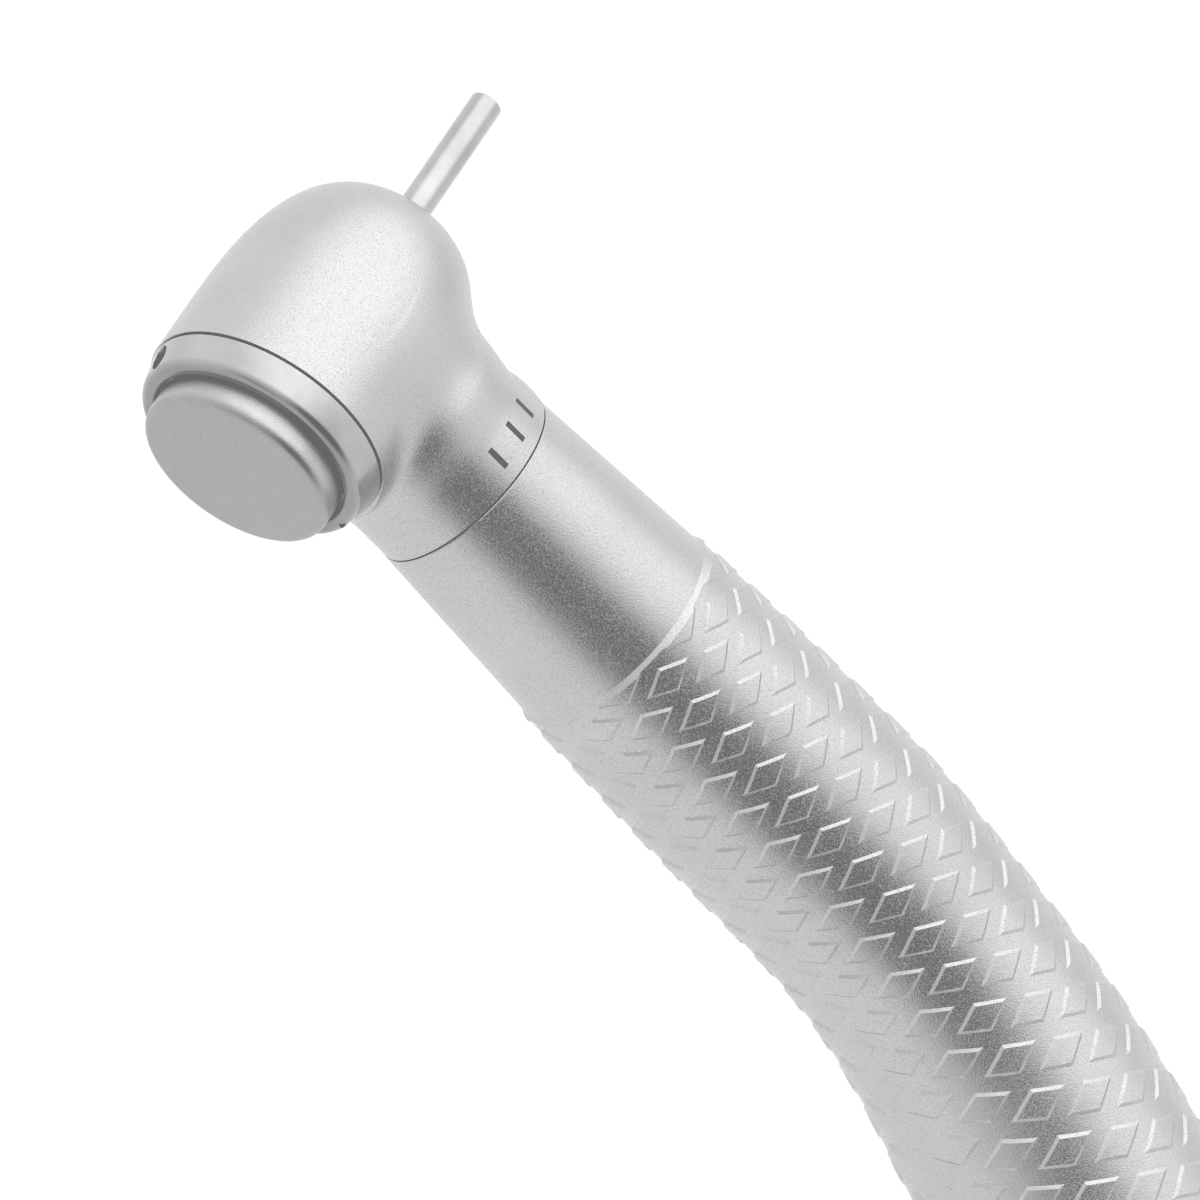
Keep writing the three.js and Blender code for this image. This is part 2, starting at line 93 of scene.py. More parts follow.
# The sleeve's plain tail with its shallow groove, as [distance, radius] places joined by straight lines
TAIL_RADIUS = 7.24
TAIL = [[83.9, 7.05], [84.5, 7.05], [84.8, TAIL_RADIUS], [86.5, 7.26], [SLEEVE_END - 0.08, 7.26]]
TAIL += [[SLEEVE_END, 7.18]]

# The sleeve's bore, from its rear end to the socket for the neck's spigot
REAR_BORE = [[SLEEVE_END, 5.9], [75, 5.9], [60, 5.5], [51, 4.95]]
MIDDLE_BORE = {"radius": 4.9, "end": 46, "start": 28, "rings": 10}
SOCKET = {"gap": 0.12, "end": 22, "taper_end": 26}
COLLAR_BORE = {"front": 6.0, "front_end": 91.8, "rear": 5.35, "rear_start": 92, "edge": 0.08}

# Raised diamonds of the grip: they stand in columns, and every other column is half a row on
COLUMNS = 18
FIRST_COLUMN = math.radians(-120)
ROW = {"first": 21.85, "pitch": 2.27, "growth": 0.0109}
# Half widths of a diamond's top and foot, and of the net's lines inside and outside it, in cells
DIAMOND = {"height": 0.1, "inner": 0.13, "top": 0.259, "foot": 0.331, "outer": 0.41}
COLUMN_SPREAD = math.radians(2)  # the columns stand a little wider on the side that faces up
GRIP_ROWS = (-0.5, 20.5)
BAND_RISE = 0.5  # slope of the chamfer where the sleeve meets the grip
BAND_LEAN = {"shift": 0.07, "reach": 0.08}  # its foot lies later on the button's side than opposite
# The rows turn into the bend more gradually than the centreline: [start, length, degrees]
ROW_TURNS = [[23, 27, 12.3], [53, 16, 5.2]]

# Air and water lines behind the connector: place across the handle, outer and bore radius, end
LINES = {
    "drive_air_nipple": {"y": 0.6, "z": 1.5, "radius": 1.1, "bore": 0.8, "end": 117},
    "water_nipple": {"y": -1.7, "z": -1.2, "radius": 0.6, "bore": 0.35, "end": 119},
    "chip_air_nipple": {"y": 1.5, "z": -1.5, "radius": 0.6, "bore": 0.35, "end": 119},
}
LINE = {"gap": 0.05, "hole_depth": 4, "depth": 3.8, "edge": 0.1}
EXHAUST = {"y": -1.6, "z": 1.2, "radius": 1.25}
FLANGE = {"radius": 6.1, "length": 1.4, "root_start": 1.8, "fine_edge": 0.1, "edge": 0.15}
THREAD = {"crest": 4.9, "root": 4.5, "pitch": 1.0, "start": 106.2, "end": 113.3}
# The thread's ridge across: shares of the pitch and of the ridge's height
RIDGE = [[-0.46, -0.12], [-0.07, 1.0], [0.07, 1.0], [0.46, -0.12]]

# How many sides stand in for a circle
SIDES = {"cap": 192, "head": 160, "collar": 144, "flange": 128, "bar": 96, "small": 48, "notch": 40}

# ---- Studio values ---------------------------------------------------------------------------
# Soft round patches of the sky: azimuth, elevation, inner and outer angle in degrees, strength
LOBES = {
    "key": (120, 46, 18, 58, 0.75),
    "dim": (-58, 48, 14, 43, -0.88),
    "front": (-120, 10, 8, 32, -0.4),
    "rear": (68, 5, 12, 30, -0.15),
}
SKY = 1.04
FLOOR = {"half": 4.0, "colour": (0.08, 0.08, 0.08, 1), "glow": 1.0, "roughness": 0.9}
PRINT_CURVE = [(0, 0.13), (0.11, 0.135), (0.2, 0.2)]  # the last point of the curve stays at (1, 1)
CAMERA = {"sensor": 36, "lens": 322.7, "near": 0.01, "far": 20}
CAMERA.update(right=(0.6471, 0.4796, 0.5927), up=(-0.6697, 0.7291, 0.1413))
CAMERA.update(place=(-165.77, -246.96, 402.30))


# ---- Frame -----------------------------------------------------------------------------------
def head_centre():
    """The head's centre in the CAD frame: on the spindle's axis, and set by the button's face."""
    low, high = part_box("spindle")
    button_low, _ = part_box("push_button")
    return np.array([(low.x + high.x) / 2, button_low.y - BUTTON["face"] * MM, (low.z + high.z) / 2])


CENTRE = head_centre()


def centreline(distance):
    """Place and heading of the handle's centreline at distances along it."""
    distance = np.asarray(distance, float)
    along = np.clip(distance - BEND["start"], 0, BEND["radius"] * BEND["angle"])
    turn = along / BEND["radius"]
    before = np.minimum(distance, BEND["start"])
    after = np.maximum(distance - BEND["start"] - BEND["radius"] * BEND["angle"], 0)
    x = before + BEND["radius"] * np.sin(turn) + after * np.cos(turn)
    y = -BEND["radius"] * (1 - np.cos(turn)) - after * np.sin(turn)
    cos, sin = math.cos(TILT), math.sin(TILT)
    return x * cos - y * sin, x * sin + y * cos + OFFSET, TILT - turn


def bent(points):
    """Bends points that are straight along X onto the centreline."""
    x, y, heading = centreline(points[:, 0])
    across = points[:, 1]
    return np.stack([x - across * np.sin(heading), y + across * np.cos(heading), points[:, 2]], 1)


def smooth(stations):
    """A smooth function of distance through [distance, radius] stations (natural cubic spline)."""
    x, y = np.array(stations, float).T
    n, h = len(x), np.diff(x)
    a, rhs = np.eye(n), np.zeros(n)
    for i in range(1, n - 1):
        a[i, i - 1 : i + 2] = h[i - 1], 2 * (h[i - 1] + h[i]), h[i]
        rhs[i] = 6 * ((y[i + 1] - y[i]) / h[i] - (y[i] - y[i - 1]) / h[i - 1])
    m = np.linalg.solve(a, rhs)

    def value(at):
        at = np.asarray(at, float)
        i = np.clip(np.searchsorted(x, at) - 1, 0, n - 2)
        left, right = (x[i + 1] - at) / h[i], (at - x[i]) / h[i]
        bow = ((left**3 - left) * m[i] + (right**3 - right) * m[i + 1]) * h[i] ** 2 / 6
        return left * y[i] + right * y[i + 1] + bow

    return value


# ---- Meshes ----------------------------------------------------------------------------------
MERGE = 1e-4 * MM


def new_object(name, points, faces, sharp=32):
    """An object with its mesh in the CAD frame; edges sharper than the angle stay sharp."""
    mesh = bpy.data.meshes.new(name)
    mesh.from_pydata((CENTRE + MM * np.asarray(points, float)).tolist(), [], faces)
    work = bmesh.new()
    work.from_mesh(mesh)
    bmesh.ops.remove_doubles(work, verts=work.verts, dist=MERGE)
    bmesh.ops.dissolve_degenerate(work, edges=work.edges, dist=MERGE)
    bmesh.ops.recalc_face_normals(work, faces=work.faces)
    work.to_mesh(mesh)
    work.free()
    obj = bpy.data.objects.new(name, mesh)
    bpy.context.scene.collection.objects.link(obj)
    shade(obj, sharp)
    return obj


def shade(obj, sharp=32):
    obj.data.shade_smooth()
    obj.data.set_sharp_from_angle(angle=math.radians(sharp))


def rounded(outline, steps=4):
    """A closed outline of [x, y] or [x, y, radius] points, with an arc at each corner that has one."""
    result = []
    count = len(outline)
    for i, corner in enumerate(outline):
        here = np.array(corner[:2], float)
        radius = corner[2] if len(corner) > 2 else 0
        if not radius:
            result.append(here)
            continue
        a = np.array(outline[i - 1][:2], float) - here
        b = np.array(outline[(i + 1) % count][:2], float) - here
        a, b = a / np.linalg.norm(a), b / np.linalg.norm(b)
        half = math.acos(np.clip(a @ b, -1, 1)) / 2
        middle = here + (a + b) / np.linalg.norm(a + b) * radius / math.sin(half)
        first, last = here + a * radius / math.tan(half), here + b * radius / math.tan(half)
        start, end = first - middle, last - middle
        sweep = math.acos(np.clip(start @ end / radius**2, -1, 1))
        for k in range(steps + 1):
            t = k / steps
            part = (math.sin((1 - t) * sweep) * start + math.sin(t * sweep) * end) / math.sin(sweep)
            result.append(middle + part)
    return np.array(result)


def stepped(outline, step):
    """A closed outline with points added so that no side is longer than step along its second value."""
    result = []
    for here, there in zip(outline, np.roll(outline, -1, axis=0)):
        parts = max(1, math.ceil(abs(there[1] - here[1]) / step))
        result += [here + (there - here) * k / parts for k in range(parts)]
    return np.array(result)


def ring_faces(rings, sides, closed=True):
    """Quads between rings of points, each ring closed on itself; closed joins the last to the first."""
    ring = np.arange(rings if closed else rings - 1)[:, None] * sides
    next_ring = (ring + sides) % (rings * sides)
    side = np.arange(sides)[None, :]
    next_side = (side + 1) % sides
    quads = np.stack([ring + side, ring + next_side, next_ring + next_side, next_ring + side], -1)
    return quads.reshape(-1, 4).tolist()


def spun(outline, sides, axis="y"):
    """Points and faces of a solid of revolution from a closed [radius, height] outline."""
    outline = np.asarray(outline, float)
    angle = np.arange(sides) * 2 * math.pi / sides
    radius, height = outline[:, :1], np.repeat(outline[:, 1:], sides, 1)
    one, two = radius * np.cos(angle), radius * np.sin(angle)
    parts = (one, height, two) if axis == "y" else (height, one, two)
    return np.stack(parts, -1).reshape(-1, 3), ring_faces(len(outline), sides)


def handle_solid(outline, sides, step=1.0):
    points, faces = spun(stepped(outline, step), sides, "x")
    return bent(points), faces


def rod(line, radius, low, high):
    """A round bar beside the handle's centreline."""
    outline = [[0, low], [radius, low], [radius, high], [0, high]]
    points, faces = spun(outline, SIDES["small"], "x")
    return bent(points + [0, line["y"], line["z"]]), faces


def carve(obj, cutters, operation="DIFFERENCE", sharp=32):
    """Cuts or joins other solids, given as points and faces, with a finished object."""
    for points, faces in cutters:
        tool = new_object("tool", points, faces)
        modifier = obj.modifiers.new("carve", "BOOLEAN")
        modifier.operation, modifier.object, modifier.solver = operation, tool, "EXACT"
        depsgraph = bpy.context.evaluated_depsgraph_get()
        result = bpy.data.meshes.new_from_object(obj.evaluated_get(depsgraph))
        obj.modifiers.clear()
        old, obj.data = obj.data, result
        bpy.data.meshes.remove(old)
        bpy.data.objects.remove(tool)
    obj.data.name = obj.name
    shade(obj, sharp)


def cut_flat(obj, height, snap):
    """Cuts off what lies on the button's side of a height, and closes the cut with a flat face."""
    work = bmesh.new()
    work.from_mesh(obj.data)
    everything = [*work.verts, *work.edges, *work.faces]
    place = CENTRE + MM * np.array([0, height, 0])
    bmesh.ops.bisect_plane(
        work, geom=everything, dist=snap * MM, plane_co=place, plane_no=(0, 1, 0), clear_inner=True
    )
    bmesh.ops.holes_fill(work, edges=[edge for edge in work.edges if edge.is_boundary])
    work.to_mesh(obj.data)
    work.free()


# ---- Materials -------------------------------------------------------------------------------
def nodes_of(name, **settings):
    """A new material, its node tree and its shader, with the shader's own sockets set."""
    material = bpy.data.materials.new(name)
    material.use_nodes = True
    tree = material.node_tree
    shader = tree.nodes["Principled BSDF"]
    for socket, value in settings.items():
        shader.inputs[socket.replace("_", " ").capitalize()].default_value = value
    return material, tree, shader


def noise(tree, scale, detail=2.0, stretch=(1, 1, 1)):
    """Noise in the object's own space; scale is in features per metre."""
    place = tree.nodes.new("ShaderNodeTexCoord")
    mapping = tree.nodes.new("ShaderNodeMapping")
    mapping.inputs["Scale"].default_value = stretch
    texture = tree.nodes.new("ShaderNodeTexNoise")
    texture.inputs["Scale"].default_value = scale
    texture.inputs["Detail"].default_value = detail
    tree.links.new(place.outputs["Object"], mapping.inputs["Vector"])
    tree.links.new(mapping.outputs["Vector"], texture.inputs["Vector"])
    return texture.outputs["Fac"]


def ranged(tree, value, low, high, start=0.3, end=0.7):
    node = tree.nodes.new("ShaderNodeMapRange")
    for socket, number in zip(("From Min", "From Max", "To Min", "To Max"), (start, end, low, high)):
        node.inputs[socket].default_value = number
    tree.links.new(value, node.inputs["Value"])
    return node.outputs["Result"]


def tinted(tree, value, dark, light, start=0.3, end=0.7):
    node = tree.nodes.new("ShaderNodeValToRGB")
    node.color_ramp.elements[0].position, node.color_ramp.elements[0].color = start, (*dark, 1)
    node.color_ramp.elements[1].position, node.color_ramp.elements[1].color = end, (*light, 1)
    tree.links.new(value, node.inputs["Fac"])
    return node.outputs["Color"]


def bumped(tree, shader, layers):
    """Chains bumps of [height value, depth in metres] onto the shader's normal."""
    normal = None
    for value, depth in layers:
        bump = tree.nodes.new("ShaderNodeBump")
        bump.inputs["Distance"].default_value = depth
        tree.links.new(value, bump.inputs["Height"])
        if normal:
            tree.links.new(normal, bump.inputs["Normal"])
        normal = bump.outputs["Normal"]
    tree.links.new(normal, shader.inputs["Normal"])


def blasted_steel():
    """Bead-blasted stainless steel: a satin grain of tiny dimples, with a faint cloudy tint."""
    material, tree, shader = nodes_of("blasted_steel", metallic=1.0)
    tint = tinted(tree, noise(tree, 260, 4), (0.515, 0.52, 0.523), (0.545, 0.55, 0.552))
    tree.links.new(tint, shader.inputs["Base Color"])
    rough = ranged(tree, noise(tree, 16000, 1), 0.23, 0.72, 0.47, 0.72)
    tree.links.new(rough, shader.inputs["Roughness"])
    dimples, waves = (noise(tree, 15000, 1), 14e-6), (noise(tree, 3200, 1), 2e-6)
    bumped(tree, shader, [dimples, waves])
    return material


def turned_steel(name, dark, light, roughness, axis=(1, 1, 1)):
    """Machined steel with fine turning lines across the given direction."""
    material, tree, shader = nodes_of(name, metallic=1.0)
    tint = tinted(tree, noise(tree, 420, 3), dark, light)
    tree.links.new(tint, shader.inputs["Base Color"])
    rough = ranged(tree, noise(tree, 2600, 3), roughness * 0.85, roughness * 1.2)
    tree.links.new(rough, shader.inputs["Roughness"])
    bumped(tree, shader, [(noise(tree, 9000, 2, axis), 1.5e-6)])
    return material


def painted_light_along_axis(material, low, high, start, end):
    """Scales a material's colour along the head's axis, to paint shade or highlight into it: low before
    one height, high past another.
    """
    tree = material.node_tree
    shader = tree.nodes["Principled BSDF"]
    place = tree.nodes.new("ShaderNodeTexCoord")
    split = tree.nodes.new("ShaderNodeSeparateXYZ")
    tree.links.new(place.outputs["Object"], split.inputs["Vector"])
    heights = (CENTRE[1] + height * MM for height in (start, end))
    scale = ranged(tree, split.outputs["Y"], low, high, *heights)
    scaled = tree.nodes.new("ShaderNodeVectorMath")
    scaled.operation = "SCALE"
    tree.links.new(shader.inputs["Base Color"].links[0].from_socket, scaled.inputs["Vector"])
    tree.links.new(scale, scaled.inputs["Scale"])
    tree.links.new(scaled.outputs["Vector"], shader.inputs["Base Color"])


def button_metal():
    """Fine satin face of the push button."""
    material, tree, shader = nodes_of("button_metal", metallic=1.0)
    tint = tinted(tree, noise(tree, 14000, 1), (0.345, 0.349, 0.351), (0.412, 0.415, 0.417))
    tree.links.new(tint, shader.inputs["Base Color"])
    rough = ranged(tree, noise(tree, 900, 3), 0.3, 0.38)
    tree.links.new(rough, shader.inputs["Roughness"])
    bumped(tree, shader, [(noise(tree, 14000, 1), 14e-6)])
    return material


def dull(name, dark, light, roughness):
    """Rubber, phenolic or etched marks: matt, with a faint mottle."""
    material, tree, shader = nodes_of(name)
    tint = tinted(tree, noise(tree, 3000, 3), dark, light)
    tree.links.new(tint, shader.inputs["Base Color"])
    rough = ranged(tree, noise(tree, 5000, 2), roughness - 0.08, roughness + 0.08)
    tree.links.new(rough, shader.inputs["Roughness"])
    bumped(tree, shader, [(noise(tree, 9000, 2), 3e-6)])
    return material


BLASTED = blasted_steel()
CAP_STEEL = turned_steel("cap_steel", (0.44, 0.445, 0.45), (0.53, 0.535, 0.54), 0.24)
painted_light_along_axis(CAP_STEEL, 0.6, 1.0, CAP["lip"] + 0.02, CAP["lip"] + 0.45)  # painted shade: the cap's colour is darker at its lip, next to the button
MACHINED = turned_steel("machined_steel", (0.5, 0.505, 0.51), (0.58, 0.585, 0.59), 0.25, (1, 6, 6))
POLISHED = turned_steel("polished_steel", (0.42, 0.425, 0.43), (0.53, 0.535, 0.54), 0.1, (3, 0.05, 3))
BUTTON_METAL = button_metal()
painted_light_along_axis(BUTTON_METAL, 1.0, 1.35, BUTTON["face"] + 0.25, BUTTON["face"] + 0.6)  # painted highlight: the button's side is lighter than its face
BRASS = turned_steel("turned_brass", (0.55, 0.4, 0.17), (0.62, 0.46, 0.2), 0.28)
RUBBER = dull("black_rubber", (0.012, 0.012, 0.013), (0.022, 0.022, 0.024), 0.6)
PHENOLIC = dull("phenolic", (0.16, 0.085, 0.035), (0.22, 0.12, 0.05), 0.55)
ETCHED = dull("etched_mark", (0.05, 0.05, 0.052), (0.09, 0.09, 0.092), 0.6)

SLOT_LOOKS = {
    "satin_steel": BLASTED,
    "machined_steel": MACHINED,
    "button_metal": BUTTON_METAL,
    "polished_steel": POLISHED,
    "brass": BRASS,
    "rubber": RUBBER,
    "cage_polymer": PHENOLIC,
}


def dress(obj, material, slot, body, *replaced):
    obj.data.materials.clear()
    obj.data.materials.append(material)
    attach(obj, body)
    if replaced:
        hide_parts(*replaced)


# ---- Head housing with neck ------------------------------------------------------------------
def soft_union(a, b, width):
    """The smaller of two distances, blended where they differ by less than width."""
    overlap = np.maximum(width - np.abs(a - b), 0) / width
    return np.minimum(a, b) - overlap**2 * width / 4


def dome_distance(p):
    radius = np.hypot(p[..., 0], p[..., 2]) / HEAD["radius"]
    length = HEAD["apex"] - HEAD["dome_start"]
    height = np.maximum(p[..., 1] - HEAD["dome_start"], 0) / length
    power = HEAD["power"]
    total = np.maximum((radius**power + height**power) ** (1 / power), 1e-6)
    least_slope, below_seam = 0.02, 0.5
    # The gradient of the superellipse's norm turns it into a distance near the surface
    slope = np.hypot(
        (radius / total) ** (power - 1) / HEAD["radius"], (height / total) ** (power - 1) / length
    )
    dome = (total - 1) / np.maximum(slope, least_slope)
    return np.maximum(dome, HEAD["seam"] - below_seam - p[..., 1])


def eased(share):
    """Smooth step from 0 to 1."""
    share = np.clip(share, 0, 1)
    return share * share * (3 - 2 * share)


def neck_distance(p):
    """The neck, which swells towards the head, with a low boss for the water jet."""
    cos, sin = math.cos(TILT), math.sin(TILT)
    along = p[..., 0] * cos + (p[..., 1] - OFFSET) * sin
    down = -p[..., 0] * sin + (p[..., 1] - OFFSET) * cos
    across = np.hypot(down, p[..., 2])
    swell = eased((NECK["swell_start"] - along) / NECK["swell_length"])
    radius = NECK["radius"] + NECK["swell"] * swell
    lengthwise = np.sqrt(np.maximum(1 - ((along - BOSS["middle"]) / BOSS["half"]) ** 2, 0))
    turned = np.arctan2(np.abs(p[..., 2]), down) / BOSS["angle"]
    sideways = eased(BOSS["side_slope"] - BOSS["side_slope"] * turned)
    radius = radius + BOSS["height"] * lengthwise * sideways
    return np.maximum(across - radius, np.maximum(along - SPIGOT["end"], NECK["start"] - along))


def housing_distance(p):
    return soft_union(dome_distance(p), neck_distance(p), NECK["fillet"])


def surface_of(distance, low, high, cell):
    """Points and quads of the surface where a distance function is zero, one point to a cell."""
    axes = [np.arange(a, b + cell, cell) for a, b in zip(low, high)]
    grid = np.stack(np.meshgrid(*axes, indexing="ij"), -1)
    value = distance(grid)
    inside = value < 0
    shape = np.array(value.shape)
    total, count = np.zeros((*(shape - 1), 3)), np.zeros(shape - 1)
    crossings = []
    for axis in range(3):
        a = [slice(None)] * 3
        b = [slice(None)] * 3
        a[axis], b[axis] = slice(None, -1), slice(1, None)
        crossing = inside[tuple(a)] != inside[tuple(b)]
        va, vb = value[tuple(a)], value[tuple(b)]
        share = np.where(crossing, va / np.where(crossing, va - vb, 1), 0)[..., None]
        place = grid[tuple(a)] + share * (grid[tuple(b)] - grid[tuple(a)])
        crossings.append(crossing)
        others = [k for k in range(3) if k != axis]
        for i in (0, 1):
            for j in (0, 1):
                part = [slice(None)] * 3
                part[others[0]] = slice(i, shape[others[0]] - 1 + i)
                part[others[1]] = slice(j, shape[others[1]] - 1 + j)
                hit = crossing[tuple(part)]
                total += place[tuple(part)] * hit[..., None]
                count += hit
    used = count > 0
    index = np.full(used.shape, -1)
    index[used] = np.arange(used.sum())
    points = total[used] / count[used][:, None]
    faces = []
    for axis in range(3):
        one, two = [k for k in range(3) if k != axis]
        at = np.argwhere(crossings[axis])
        at = at[(at[:, one] > 0) & (at[:, two] > 0)]
        corner = []
        for i, j in ((1, 1), (0, 1), (0, 0), (1, 0)):
            cell_at = at.copy()
            cell_at[:, one] -= i
            cell_at[:, two] -= j
            corner.append(index[tuple(cell_at.T)])
        faces.append(np.stack(corner, 1))
    # A few steps down the slope bring the points onto the surface
    step, rounds = cell * 0.02, 3
    for _ in range(rounds):
        here = distance(points)
        offsets = np.eye(3) * step
        rises = [distance(points + o) - distance(points - o) for o in offsets]
        slope = np.stack(rises, -1) / (2 * step)
        length = np.maximum((slope**2).sum(-1), 1e-9)[:, None]
        points = points - np.clip(here[:, None] * slope / length, -cell, cell)
    return points, np.concatenate(faces).tolist()


def at_nozzle(points):
    cos, sin = math.cos(NOZZLE["aim"]), math.sin(NOZZLE["aim"])
    x, y = points[:, 0] * cos - points[:, 1] * sin, points[:, 0] * sin + points[:, 1] * cos
    return np.stack([x + NOZZLE["x"], y + NOZZLE["y"], points[:, 2]], 1)


def head_housing():
    cell, margin = 0.13, 0.5
    reach = HEAD["radius"] + margin
    low, high = (-reach, -6.6, -reach), (16.6, 8.0, reach)
    housing = new_object("head_shell", *surface_of(housing_distance, low, high, cell))
    cut_flat(housing, HEAD["seam"] + SEAM / 2, 0.02)
    bore, apex = BORE, HEAD["apex"]
    chamber = rounded([
        [0, bore["open"]], [bore["thread"], bore["open"]], [bore["thread"], bore["thread_end"]],
        [bore["chamber"], bore["chamber_low"]],
        [bore["chamber"], bore["chamber_top"], bore["chamber_round"]],
        [bore["seat"], bore["chamber_top"] + bore["step"]], [bore["seat"], bore["seat_top"]],
        [bore["nose"], bore["seat_top"]], [bore["nose"], apex + bore["flare_start"]],
        [bore["nose"] + bore["flare"], apex + bore["flare_end"]], [0, apex + bore["flare_end"]],
    ])
    # The cutters reach past the neck's outside and past the spigot's end
    end, outside, past = NECK["end"] - SEAM / 2, 8, SPIGOT["end"] + 2
    shoulder = [[SPIGOT["radius"], end], [outside, end], [outside, past], [SPIGOT["radius"], past]]
    start, inside = SPIGOT["bore_start"], SPIGOT["bore"]
    passage = [[0, start], [inside, start], [inside, past], [0, past]]
    low, high, radius = -NOZZLE["length"], 2, NOZZLE["seat"]
    points, faces = spun([[0, low], [radius, low], [radius, high], [0, high]], SIDES["small"])
    carve(housing, [
        spun(chamber, SIDES["head"]), handle_solid(shoulder, SIDES["head"]),
        handle_solid(passage, SIDES["bar"]), (at_nozzle(points), faces),
    ])
    dress(housing, BLASTED, "satin_steel", "handpiece", "head_housing")


def spray_nozzle():
    low, top = NOZZLE["floor"] - NOZZLE["length"], -NOZZLE["sunk"]
    outline = rounded([
        [NOZZLE["jet"], low], [NOZZLE["radius"], low],
        [NOZZLE["radius"], top, NOZZLE["edge"]], [NOZZLE["jet"], top, NOZZLE["jet_edge"]],
    ])
    points, faces = spun(outline, SIDES["small"])
    nozzle = new_object("water_jet", at_nozzle(points), faces)
    dress(nozzle, MACHINED, "machined_steel", "handpiece", "spray_nozzle")


def etched_bars():
    """Short bars etched beside the neck's seam, as a plain index mark."""
    half, sides = MARK["half"] / NECK["radius"], 5
    for i in range(MARK["bars"]):
        middle = MARK["angle"] + i * MARK["step"]
        angle = np.linspace(middle - half, middle + half, sides)
        rings = []
        for radius in (NECK["radius"] - MARK["depth"], NECK["radius"] + MARK["proud"]):
            for along in (MARK["low"], MARK["high"]):
                across, up = radius * np.cos(angle), -radius * np.sin(angle)
                rings.append(np.stack([np.full(sides, along), across, up], 1))
        inner_low, inner_high, outer_low, outer_high = rings
        loop = np.stack([inner_low, outer_low, outer_high, inner_high]).transpose(1, 0, 2)
        ends = [[0, 1, 2, 3], [16, 17, 18, 19]]
        faces = ring_faces(sides, 4, closed=False) + ends
        bar = new_object(f"etched_bar_{i + 1}", bent(loop.reshape(-1, 3)), faces)
        dress(bar, ETCHED, "satin_steel", "handpiece")


# ---- Back cap and push button ----------------------------------------------------------------
def back_cap():
    top = HEAD["seam"] - SEAM / 2
    mouth = BUTTON["radius"] + BUTTON["gap"]
    inner = BORE["thread"] - SEAM
    outline = rounded([
        [mouth, CAP["lip"], CAP["lip_inner"]], [CAP["lip_radius"], CAP["lip"], CAP["lip_round"]],
        [CAP["radius"], top, CAP["edge"]], [inner, top], [inner, CAP["thread_end"]],
        [CAP["rest"], CAP["thread_end"]], [CAP["rest"], CAP["rest_end"]],
        [CAP["seat"], CAP["rest_end"]], [CAP["seat"], CAP["seat_end"]],
        [CAP["waist"], CAP["seat_end"]], [CAP["waist"], CAP["floor"]], [mouth, CAP["floor"]],
    ], 9)
    cap = new_object("cap_ring", *spun(outline, SIDES["cap"]), sharp=24)
    depth, radius = CAP["notch_depth"], CAP["notch_radius"]
    cutters = []
    for turn, height in CAP["notches"]:
        angle = math.radians(turn)
        drill = [[0, -depth], [radius, -depth], [radius, depth], [0, depth]]
        points, faces = spun(drill, SIDES["notch"], "x")
        points = points + [CAP["notch_middle"], height, 0]
        x = points[:, 0] * math.cos(angle) + points[:, 2] * math.sin(angle)
        z = points[:, 2] * math.cos(angle) - points[:, 0] * math.sin(angle)
        cutters.append((np.stack([x, points[:, 1], z], 1), faces))
    carve(cap, cutters)
    dress(cap, CAP_STEEL, "satin_steel", "handpiece", "back_cap")


def push_button():
    b = BUTTON
    inner = b["radius"] - b["wall"]
    outline = rounded([
        [0, b["face"]], [b["radius"], b["face"], b["edge"]], [b["radius"], b["groove_low"]],
        [b["groove"], b["groove_low"]], [b["groove"], b["groove_high"]],
        [b["radius"], b["groove_high"]], [b["radius"], b["back"], b["back_edge"]],
        [inner, b["back"]], [inner, b["web"]], [b["boss"], b["web"]],
        [b["boss"], b["boss_end"]], [0, b["boss_end"]],
    ], 12)
    button = new_object("button_cup", *spun(outline, SIDES["cap"]))
    dress(button, BUTTON_METAL, "button_metal", "button", "push_button")


def test_pin():
    p = PIN
    outline = rounded([
        [0, p["low"]], [p["radius"], p["low"], p["low_edge"]],
        [p["radius"], p["tip"], p["tip_edge"]], [0, p["tip"]],
    ])
    pin = new_object("pin_shank", *spun(outline, SIDES["bar"]))
    dress(pin, POLISHED, "polished_steel", "pin", "test_pin")


# ---- Grip sleeve -----------------------------------------------------------------------------
def row_distance(row):
    """Distance along the centreline of a row of diamonds; the rows grow slowly towards the hose."""
    growth = ROW["growth"]
    return ROW["first"] + ROW["pitch"] / growth * (np.exp(growth * row) - 1)


def row_lean(distance):
    """How far a row is turned from the centreline's cross-section, in radians."""
    turns = [math.radians(turn) * eased((distance - start) / length) for start, length, turn in ROW_TURNS]
    along = np.clip(distance - BEND["start"], 0, BEND["radius"] * BEND["angle"])
    return sum(turns) - along / BEND["radius"]


def diamond_height(x, y):
    """Height at a place in a cell: one on a diamond's top, zero at its foot and beyond."""
    away = np.maximum(np.abs(x - np.round(x)), np.abs(y - np.round(y)))
    return np.clip((DIAMOND["foot"] - away) / (DIAMOND["foot"] - DIAMOND["top"]), 0, 1)


